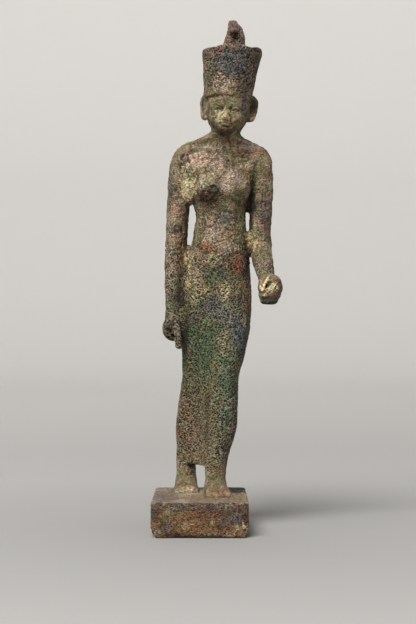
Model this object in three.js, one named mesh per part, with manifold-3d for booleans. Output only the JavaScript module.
// A bronze statuette of a striding goddess in a flat-topped crown, cast in one with its base.
// Millimetres. +Z is up, the figure faces -Y and its left side is +X. The origin is the
// middle of the base's underside.
import * as THREE from "three";
import { mergeVertices } from "three/addons/utils/BufferGeometryUtils.js";
import Module from "manifold-3d";

// Driving dimensions
const BASE = { width: 29.8, depth: 44.5, height: 10.6, corner: 2.6, edge: 0.7 };
const HEM_Z = 19.2;
const WAIST_Z = 100;
const CHIN_Z = 127;
const CROWN_TOP_Z = 154.5;
const STUB_TOP_Z = 166.5;
const BODY_Y = 12;
const WALL_OVERLAP = 0.6;
const PIERCED_HOLE = { radius: 1.0, length: 14 };

// Fineness of the faceted surfaces: the sides round each one and the steps along it
const BODY_FACETS = { sides: 28, steps: 32 };
const HEAD_FACETS = { sides: 22, steps: 9 };
const CROWN_FACETS = { sides: 26, steps: 5 };
const STUB_FACETS = { sides: 12, steps: 6 };
const RIGHT_ARM_FACETS = { sides: 14, steps: 13 };
const UPPER_ARM_FACETS = { sides: 14, steps: 7 };
const FOREARM_FACETS = { sides: 14, steps: 6 };
const SEAM_FACETS = { sides: 10, steps: 6 };
const ANKLE_FACETS = { sides: 12, steps: 4 };
const FOOT_FACETS = { sides: 10, steps: 9 };
const HIDDEN_SIDES = 6;
const SMALL_SIDES = 8;
const LARGE_SIDES = 10;

const BRONZE = new THREE.MeshStandardMaterial({
  name: "patinated_bronze",
  color: new THREE.Color(0.27, 0.25, 0.19),
  roughness: 0.72,
  metalness: 0.45,
});

// Stations of the standing body, from hem to neck. Each section is the outline round two
// equal ovals, one for each flank: [z, mid x, mid y, apart x, apart y, half width, half
// depth], where the left oval stands at mid + apart and the right one at mid - apart.
const BODY = [
  [HEM_Z, 0.4, 10.8, 4.4, -6.2, 3.9, 4.2],
  [24, 1.0, 10.8, 4.6, -6.0, 4.2, 4.5],
  [31.5, 1.8, 10.9, 4.8, -5.6, 5.0, 5.1],
  [39.5, 2.5, 11.0, 4.6, -5.0, 5.0, 5.5],
  [47.5, 3.2, 11.2, 4.1, -4.2, 5.1, 6.0],
  [55, 4.2, 11.5, 4.0, -3.2, 6.2, 6.8],
  [63, 4.8, 12.0, 4.0, -2.0, 7.2, 7.6],
  [71, 5.2, 12.4, 3.9, -0.9, 7.5, 8.2],
  [78, 5.5, 12.5, 3.8, 0, 7.2, 7.8],
  [85, 5.9, 12.2, 3.5, 0, 6.6, 6.7],
  [92, 6.3, BODY_Y, 3.1, 0, 5.8, 5.7],
  [WAIST_Z, 6.7, BODY_Y, 2.9, 0, 5.2, 5.0],
  [105, 6.5, BODY_Y, 3.6, 0, 5.4, 5.2],
  [110, 6.5, BODY_Y, 4.8, 0, 5.6, 5.5],
  [115, 6.7, 12.2, 7.4, 0, 5.5, 5.2],
  [119, 6.8, 12.5, 10.0, 0, 4.7, 4.7],
  [122, 6.9, 12.6, 10.2, 0, 4.2, 4.2],
  [124, 6.6, 12.6, 7.8, 0, 3.8, 3.9],
  [126, 7.2, 12.3, 3.0, 0, 3.9, 4.0],
  [128, 8.1, BODY_Y, 0.8, 0, 3.9, 4.3],
  [132, 8.4, 11.8, 0.5, 0, 4.2, 4.6],
];

// Stations of the head, from chin to the crown's brow band. Each is [z, x, y, half width,
// half depth, power], and power squares the oval.
const HEAD = [
  [CHIN_Z - 0.6, 8.6, 6.9, 2.2, 2.0, 2],
  [CHIN_Z + 1, 8.7, 8.2, 4.2, 4.0, 2.2],
  [CHIN_Z + 4, 8.9, 9.8, 5.9, 5.9, 2.3],
  [CHIN_Z + 8, 9.1, 10.7, 6.7, 7.0, 2.3],
  [CHIN_Z + 12, 9.2, 11.1, 7.1, 7.5, 2.2],
  [CHIN_Z + 15, 9.3, 11.3, 7.1, 7.6, 2],
];

// Stations of the crown, as for the head: it flares to a flat top and leans.
const CROWN = [
  [138.6, 9.0, 12.0, 7.5, 8.6, 2.1],
  [144, 9.5, 12.2, 8.1, 9.3, 2.1],
  [150, 10.1, 12.4, 9.0, 10.3, 2.1],
  [CROWN_TOP_Z - 0.7, 10.5, 12.6, 9.75, 11.2, 2.1],
  [CROWN_TOP_Z, 10.5, 12.6, 9.3, 10.7, 2.1],
];

// The crown's cap comes lower over the nape.
const NAPE = { centre: [9.2, 15.2, 138], half: [6.7, 5.6, 7.4] };

// The broken root of the crown's rear panel.
const STUB = [
  [CROWN_TOP_Z - 3, 10.9, 20.3, 4.0, 2.3, 2.4],
  [157.5, 11.15, 20.3, 3.7, 2.3, 2.6],
  [161, 11.3, 20.3, 2.9, 2.1, 2.6],
  [164, 11.2, 20.3, 2.0, 1.8, 2.3],
  [STUB_TOP_Z - 0.4, 10.95, 20.3, 1.5, 1.4, 2],
  [STUB_TOP_Z, 10.95, 20.3, 1.0, 0.9, 2],
];
const CURL_ROOT = { centre: [11.8, 18.2, 163], half: [1.6, 1.5, 1.1] };
const CURL_HOLLOW = { centre: [11.9, 17.7, 160], half: [1.5, 1.6, 1.6] };

// Rounded details, as ellipsoids turned about X, Y and Z by their tilt.
const EARS = [
  { centre: [1.9, 11.4, 136.4], half: [1.0, 2.5, 4.4], tilt: [0, 0.06, 0.5] },
  { centre: [16.7, 11.2, 135.2], half: [1.0, 2.6, 4.4], tilt: [0, 0.12, -0.75] },
];
const EAR_HOLLOWS = [
  { centre: [0.9, 11.0, 136.6], half: [0.5, 1.3, 2.6], tilt: [0, 0.06, 0.5] },
  { centre: [17.5, 10.2, 135.4], half: [0.5, 1.4, 2.6], tilt: [0, 0.12, -0.75] },
];
const NOSE = { centre: [8.6, 4.2, 132.7], half: [1.0, 1.3, 2.0], tilt: [-0.2, 0, 0] };
const LIPS = { centre: [8.6, 4.5, 129.7], half: [1.7, 0.8, 0.65] };
const EYES = [
  { centre: [6.0, 4.5, 134.6], half: [1.5, 0.8, 0.8] },
  { centre: [11.3, 4.5, 134.6], half: [1.5, 0.8, 0.8] },
];
const BREASTS = [
  { centre: [1.7, 9.0, 109.4], half: [4.7, 4.6, 5.0] },
  { centre: [11.2, 9.0, 109.4], half: [4.7, 4.6, 5.0] },
];

// Masses that run the arms into the body.
const SHOULDERS = [
  { centre: [-5.3, 12.6, 117], half: [4.3, 4.6, 5.2] },
  { centre: [19.1, 12.6, 117], half: [4.3, 4.6, 5.2] },
];
const ARM_ROOTS = [
  { centre: [-3.3, 12.4, 108.4], half: [2.6, 3.2, 4.6] },
  { centre: [15.9, 12.6, 107], half: [2.6, 3.2, 5.6] },
  { centre: [15.6, 12.6, 91], half: [2.4, 2.6, 4.2] },
];
const LEFT_ELBOW = { centre: [19.6, 13.6, 90.4], half: [3.5, 3.7, 3.7] };

// Stations of the limbs along their path. Each is [x, y, z, half width, half depth].
const RIGHT_ARM = [
  [-5.6, 12.6, 117, 3.9, 4.4],
  [-6.8, 12.6, 111, 3.75, 4.4],
  [-7.2, 12.6, 104, 3.65, 4.1],
  [-7.7, 12.7, 96, 3.5, 3.9],
  [-8.1, 12.5, 88, 3.4, 3.7],
  [-8.7, 12.1, 79, 3.05, 3.4],
  [-9.0, 11.6, 71.5, 2.5, 2.8],
  [-9.1, 11.3, 66, 2.6, 3.0],
];
const LEFT_UPPER_ARM = [
  [19.4, 12.6, 117, 3.9, 4.4],
  [20.1, 12.7, 111, 3.7, 4.4],
  [19.9, 12.9, 104, 3.65, 4.1],
  [19.6, 13.2, 96, 3.5, 3.9],
  [19.6, 13.4, 90, 3.5, 3.7],
];
const LEFT_FOREARM = [
  [19.6, 13.6, 90.4, 3.4, 3.5],
  [19.9, 8.0, 87.2, 3.3, 3.4],
  [20.5, 0, 82.6, 2.95, 3.1],
  [21.1, -7.5, 78.2, 2.55, 2.6],
  [21.4, -10.5, 76.4, 2.7, 2.8],
];
const HIP_SEAM = [
  [-4.0, 12.3, 91.5, 1.6, 1.2],
  [-4.6, 12.2, 86, 2.0, 2.4],
  [-5.6, 12.0, 76, 2.0, 2.4],
  [-6.4, 11.6, 66, 2.0, 2.4],
  [-6.8, 11.2, 60, 1.6, 2.0],
];

// A clenched hand: a palm, curled fingers stacked along its grip, and a thumb.
const RIGHT_FIST = {
  palm: { centre: [-9.2, 10.9, 62.4], half: [3.0, 3.7, 4.3], tilt: [0.12, -0.25, 0] },
  thumb: { centre: [-7.4, 8.0, 59.6], half: [1.3, 1.6, 2.9], tilt: [0.12, -0.25, 0] },
  knuckle: { start: [-10.6, 8.6, 65.2], end: [-9.6, 8.6, 59.2], half: [1.6, 2.0, 1.05] },
};
const LEFT_FIST = {
  palm: { centre: [21.8, -11.6, 75.0], half: [3.2, 3.6, 4.0], tilt: [0.5, 0.35, 0] },
  thumb: { centre: [20.0, -14.0, 77.4], half: [1.2, 1.7, 2.5], tilt: [0.5, 0.35, 0] },
  knuckle: { start: [23.4, -14.4, 77.4], end: [21.6, -12.8, 72.2], half: [2.0, 2.1, 1.0] },
};
const FINGERS = 4;

// Ankles under the hem, and feet as [distance towards the toes, half width, height].
const ANKLE = [
  [0, 3.9, 4.4],
  [3.2, 3.4, 3.9],
  [6.5, 3.3, 3.8],
  [13, 3.1, 3.6],
];
const FOOT = [
  [-3.9, 1.9, 1.6],
  [-3.2, 2.7, 3.6],
  [-1, 3.3, 5.2],
  [2.2, 3.6, 4.4],
  [5.5, 4.0, 3.1],
  [8.2, 3.9, 2.3],
  [9.7, 2.9, 1.5],
];
const INSTEP_POWER = 0.8;
const LEGS = [
  { x: -4.7, y: 17.0, turn: 0.02 },
  { x: 4.9, y: 4.6, turn: 0.1 },
];

const wasm = await Module();
wasm.setup();

// A three.js geometry as a manifold-3d solid.
function solid(geometry) {
  const bare = geometry.clone();
  bare.deleteAttribute("normal");
  bare.deleteAttribute("uv");
  const merged = mergeVertices(bare, 1e-4);
  return new wasm.Manifold(
    new wasm.Mesh({
      numProp: 3,
      vertProperties: new Float32Array(merged.attributes.position.array),
      triVerts: new Uint32Array(merged.index.array),
    }),
  );
}

// The manifold-3d solid as a three.js geometry.
function geometryOf(made) {
  const { numProp, vertProperties, triVerts } = made.getMesh();
  const count = vertProperties.length / numProp;
  const positions = new Float32Array(3 * count);
  for (let i = 0; i < count; i++)
    positions.set(vertProperties.subarray(i * numProp, i * numProp + 3), 3 * i);
  const geometry = new THREE.BufferGeometry();
  geometry.setAttribute("position", new THREE.BufferAttribute(positions, 3));
  geometry.setIndex(new THREE.BufferAttribute(new Uint32Array(triVerts), 1));
  geometry.computeVertexNormals();
  return geometry;
}

// A closed skin over rings of points that all hold the same count.
function skin(rings) {
  const sides = rings[0].length;
  const vertices = rings.flat();
  const middle = (ring) =>
    ring.reduce((sum, p) => sum.add(p), new THREE.Vector3()).divideScalar(sides);
  const first = vertices.push(middle(rings[0])) - 1;
  const last = vertices.push(middle(rings[rings.length - 1])) - 1;
  const top = (rings.length - 1) * sides;
  const faces = [];
  for (let s = 0; s < sides; s++) {
    const next = (s + 1) % sides;
    faces.push(first, next, s, last, top + s, top + next);
    for (let r = 0; r < rings.length - 1; r++) {
      const low = r * sides;
      const high = low + sides;
      faces.push(low + s, low + next, high + next, low + s, high + next, high + s);
    }
  }
  const geometry = new THREE.BufferGeometry().setFromPoints(vertices);
  geometry.setIndex(faces);
  return geometry;
}

// Rows of stations, made finer by a smooth curve through every column.
function smoothRows(stations, steps) {
  const value = (column, t) => {
    const heights = stations.map((row, i) => new THREE.Vector2(i, row[column]));
    return new THREE.SplineCurve(heights).getPoint(t).y;
  };
  return Array.from({ length: steps + 1 }, (_, i) =>
    stations[0].map((_, column) => value(column, i / steps)),
  );
}

const signedPower = (value, power) => Math.sign(value) * Math.abs(value) ** power;

// The point where the outline round two equal ovals looks in one direction.
function flankPoint([z, x, y, apartX, apartY, halfX, halfY], angle) {
  const [lookX, lookY] = [Math.cos(angle), Math.sin(angle)];
  const side = lookX * apartX + lookY * apartY >= 0 ? 1 : -1;
  const reach = Math.hypot(halfX * lookX, halfY * lookY);
  return new THREE.Vector3(
    x + side * apartX + (halfX ** 2 * lookX) / reach,
    y + side * apartY + (halfY ** 2 * lookY) / reach,
    z,
  );
}

// The body, hips and skirt.
function body() {
  const rings = smoothRows(BODY, BODY_FACETS.steps).map((row) =>
    Array.from({ length: BODY_FACETS.sides }, (_, s) =>
      flankPoint(row, (2 * Math.PI * (s + 0.5)) / BODY_FACETS.sides),
    ),
  );
  return solid(skin(rings));
}

// A solid that rises through horizontal oval sections.
function column(stations, { sides, steps }) {
  const rings = smoothRows(stations, steps).map(([z, x, y, halfX, halfY, power]) =>
    Array.from({ length: sides }, (_, s) => {
      const angle = (2 * Math.PI * s) / sides;
      const across = halfX * signedPower(Math.cos(angle), 2 / power);
      const along = halfY * signedPower(Math.sin(angle), 2 / power);
      return new THREE.Vector3(x + across, y + along, z);
    }),
  );
  return solid(skin(rings));
}

// A solid that follows a path with oval sections square to it.
function limb(stations, { sides, steps }) {
  const rows = smoothRows(stations, steps);
  const centres = rows.map(([x, y, z]) => new THREE.Vector3(x, y, z));
  const acrossBody = new THREE.Vector3(1, 0, 0);
  const rings = rows.map(([, , , halfX, halfY], i) => {
    const before = centres[Math.max(i - 1, 0)];
    const after = centres[Math.min(i + 1, centres.length - 1)];
    const ahead = after.clone().sub(before).normalize();
    const depth = ahead.clone().cross(acrossBody).normalize();
    const width = depth.clone().cross(ahead);
    return Array.from({ length: sides }, (_, s) => {
      const angle = (2 * Math.PI * s) / sides;
      return centres[i]
        .clone()
        .addScaledVector(width, halfX * Math.cos(angle))
        .addScaledVector(depth, halfY * Math.sin(angle));
    });
  });
  return solid(skin(rings));
}

// An ellipsoid with its half sizes along X, Y and Z, then tilted.
function lump({ centre, half, tilt = [0, 0, 0] }, sides = SMALL_SIDES) {
  const geometry = new THREE.SphereGeometry(1, sides + 4, sides);
  geometry.rotateX(Math.PI / 2).scale(...half);
  geometry.applyMatrix4(
    new THREE.Matrix4().makeRotationFromEuler(new THREE.Euler(...tilt)),
  );
  geometry.translate(...centre);
  return solid(geometry);
}

// The rectangular base, with rounded corners and worn edges.
function base() {
  const { width, depth, height, corner, edge } = BASE;
  const x = width / 2 - edge;
  const y = depth / 2 - edge;
  const r = corner - edge;
  const outline = new THREE.Shape();
  outline.absarc(x - r, y - r, r, 0, Math.PI / 2);
  outline.absarc(r - x, y - r, r, Math.PI / 2, Math.PI);
  outline.absarc(r - x, r - y, r, Math.PI, 1.5 * Math.PI);
  outline.absarc(x - r, r - y, r, 1.5 * Math.PI, 2 * Math.PI);
  const geometry = new THREE.ExtrudeGeometry(outline, {
    depth: height - 2 * edge,
    bevelSize: edge,
    bevelThickness: edge,
    bevelSegments: 2,
    curveSegments: 3,
  });
  return solid(geometry.translate(0, 0, edge));
}

// One foot with its ankle. The sole is cut flat where it enters the base.
function foot({ x, y, turn }) {
  const floor = BASE.height - WALL_OVERLAP;
  const { sides, steps } = FOOT_FACETS;
  const rings = smoothRows(FOOT, steps).map(([ahead, half, height]) =>
    Array.from({ length: sides }, (_, s) => {
      const angle = (2 * Math.PI * s) / sides;
      const up = Math.sin(angle);
      return new THREE.Vector3(
        half * Math.cos(angle),
        -ahead,
        up > 0 ? (height + WALL_OVERLAP) * up ** INSTEP_POWER : 0,
      );
    }),
  );
  const geometry = skin(rings).rotateZ(turn);
  const ankle = ANKLE.map(([up, halfX, halfY]) => [floor + up, x, y, halfX, halfY, 2]);
  return solid(geometry.translate(x, y, floor)).add(column(ankle, ANKLE_FACETS));
}

// A clenched hand with its thumb.
function fist({ palm, thumb, knuckle }) {
  const fingers = Array.from({ length: FINGERS }, (_, i) => {
    const along = i / (FINGERS - 1);
    const start = new THREE.Vector3(...knuckle.start);
    const centre = start.lerp(new THREE.Vector3(...knuckle.end), along).toArray();
    return lump({ centre, half: knuckle.half, tilt: palm.tilt }, HIDDEN_SIDES);
  });
  return [lump(palm), lump(thumb, HIDDEN_SIDES), ...fingers];
}

// The straight hole through the raised fist, for a staff that is lost.
function staffHole() {
  const { radius, length } = PIERCED_HOLE;
  const { centre, tilt } = LEFT_FIST.palm;
  const geometry = new THREE.CylinderGeometry(radius, radius, length, SMALL_SIDES);
  geometry.rotateX(Math.PI / 2);
  geometry.applyMatrix4(
    new THREE.Matrix4().makeRotationFromEuler(new THREE.Euler(...tilt)),
  );
  return solid(geometry.translate(...centre));
}

// The face and its ears, in calm, plain proportions.
function features() {
  return [NOSE, LIPS, ...EYES].map((part) => lump(part, HIDDEN_SIDES));
}

function ears() {
  return EARS.map((ear, i) => lump(ear).subtract(lump(EAR_HOLLOWS[i], HIDDEN_SIDES)));
}

function statuette() {
  const pieces = [
    base(),
    body(),
    column(HEAD, HEAD_FACETS),
    column(CROWN, CROWN_FACETS),
    column(STUB, STUB_FACETS),
    lump(NAPE),
    lump(CURL_ROOT, HIDDEN_SIDES),
    ...features(),
    ...ears(),
    ...BREASTS.map((breast) => lump(breast, LARGE_SIDES)),
    ...SHOULDERS.map((mass) => lump(mass)),
    ...ARM_ROOTS.map((mass) => lump(mass, HIDDEN_SIDES)),
    limb(RIGHT_ARM, RIGHT_ARM_FACETS),
    limb(LEFT_UPPER_ARM, UPPER_ARM_FACETS),
    limb(LEFT_FOREARM, FOREARM_FACETS),
    limb(HIP_SEAM, SEAM_FACETS),
    lump(LEFT_ELBOW),
    ...fist(RIGHT_FIST),
    ...fist(LEFT_FIST),
    ...LEGS.map(foot),
  ];
  const joined = pieces.reduce((whole, piece) => whole.add(piece));
  return joined.subtract(lump(CURL_HOLLOW, HIDDEN_SIDES)).subtract(staffHole());
}

const group = new THREE.Group();
const figure = new THREE.Mesh(geometryOf(statuette()), BRONZE);
figure.name = "statuette";
group.add(figure);

export default group;
